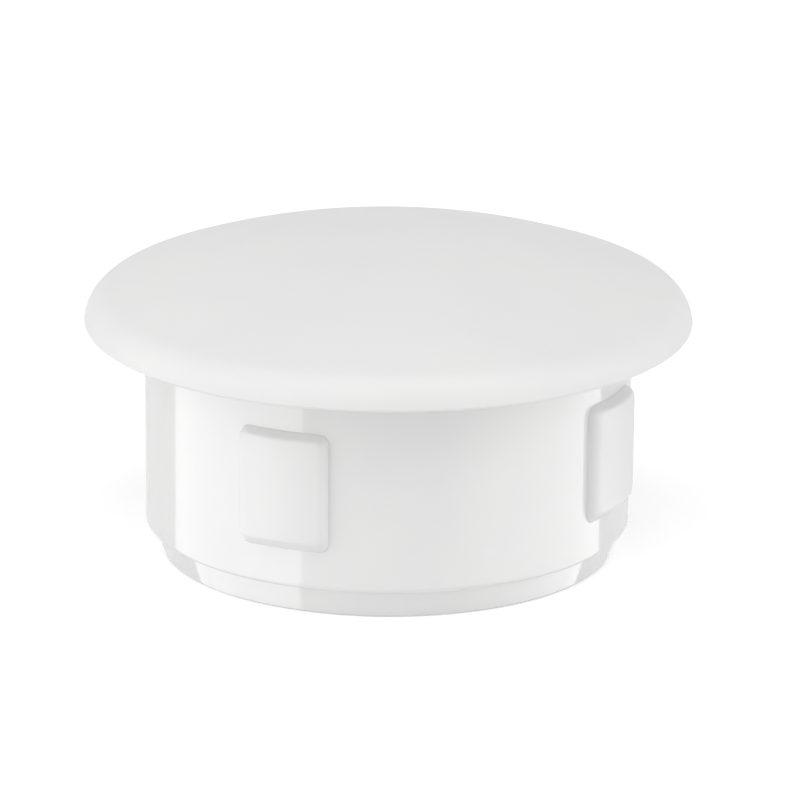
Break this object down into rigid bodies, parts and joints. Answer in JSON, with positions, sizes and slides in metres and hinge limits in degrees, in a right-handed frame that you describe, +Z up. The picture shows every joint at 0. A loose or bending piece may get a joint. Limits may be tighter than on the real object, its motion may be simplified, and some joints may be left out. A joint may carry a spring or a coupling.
{
  "type": "hole plug",
  "caption": "Round plug with a low domed head over a hollow barrel with raised grip pads and a tapered lead-in ring, pushed into a drilled hole to close it.",
  "frame": {"origin": "centre of the foot of the lead-in ring, at its lowest plane", "axes": "+Z up the plug's axis towards the crown of the head; the grip pads lie on the X and Y axes"},
  "size_m": [0.015, 0.015, 0.008],
  "materials": {
    "plastic": "white moulded plastic, fine satin texture on the head and pads, polished barrel and lead-in ring"
  },
  "bodies": {
    "root": {"hole_plug": "plastic"}
  },
  "joints": []
}
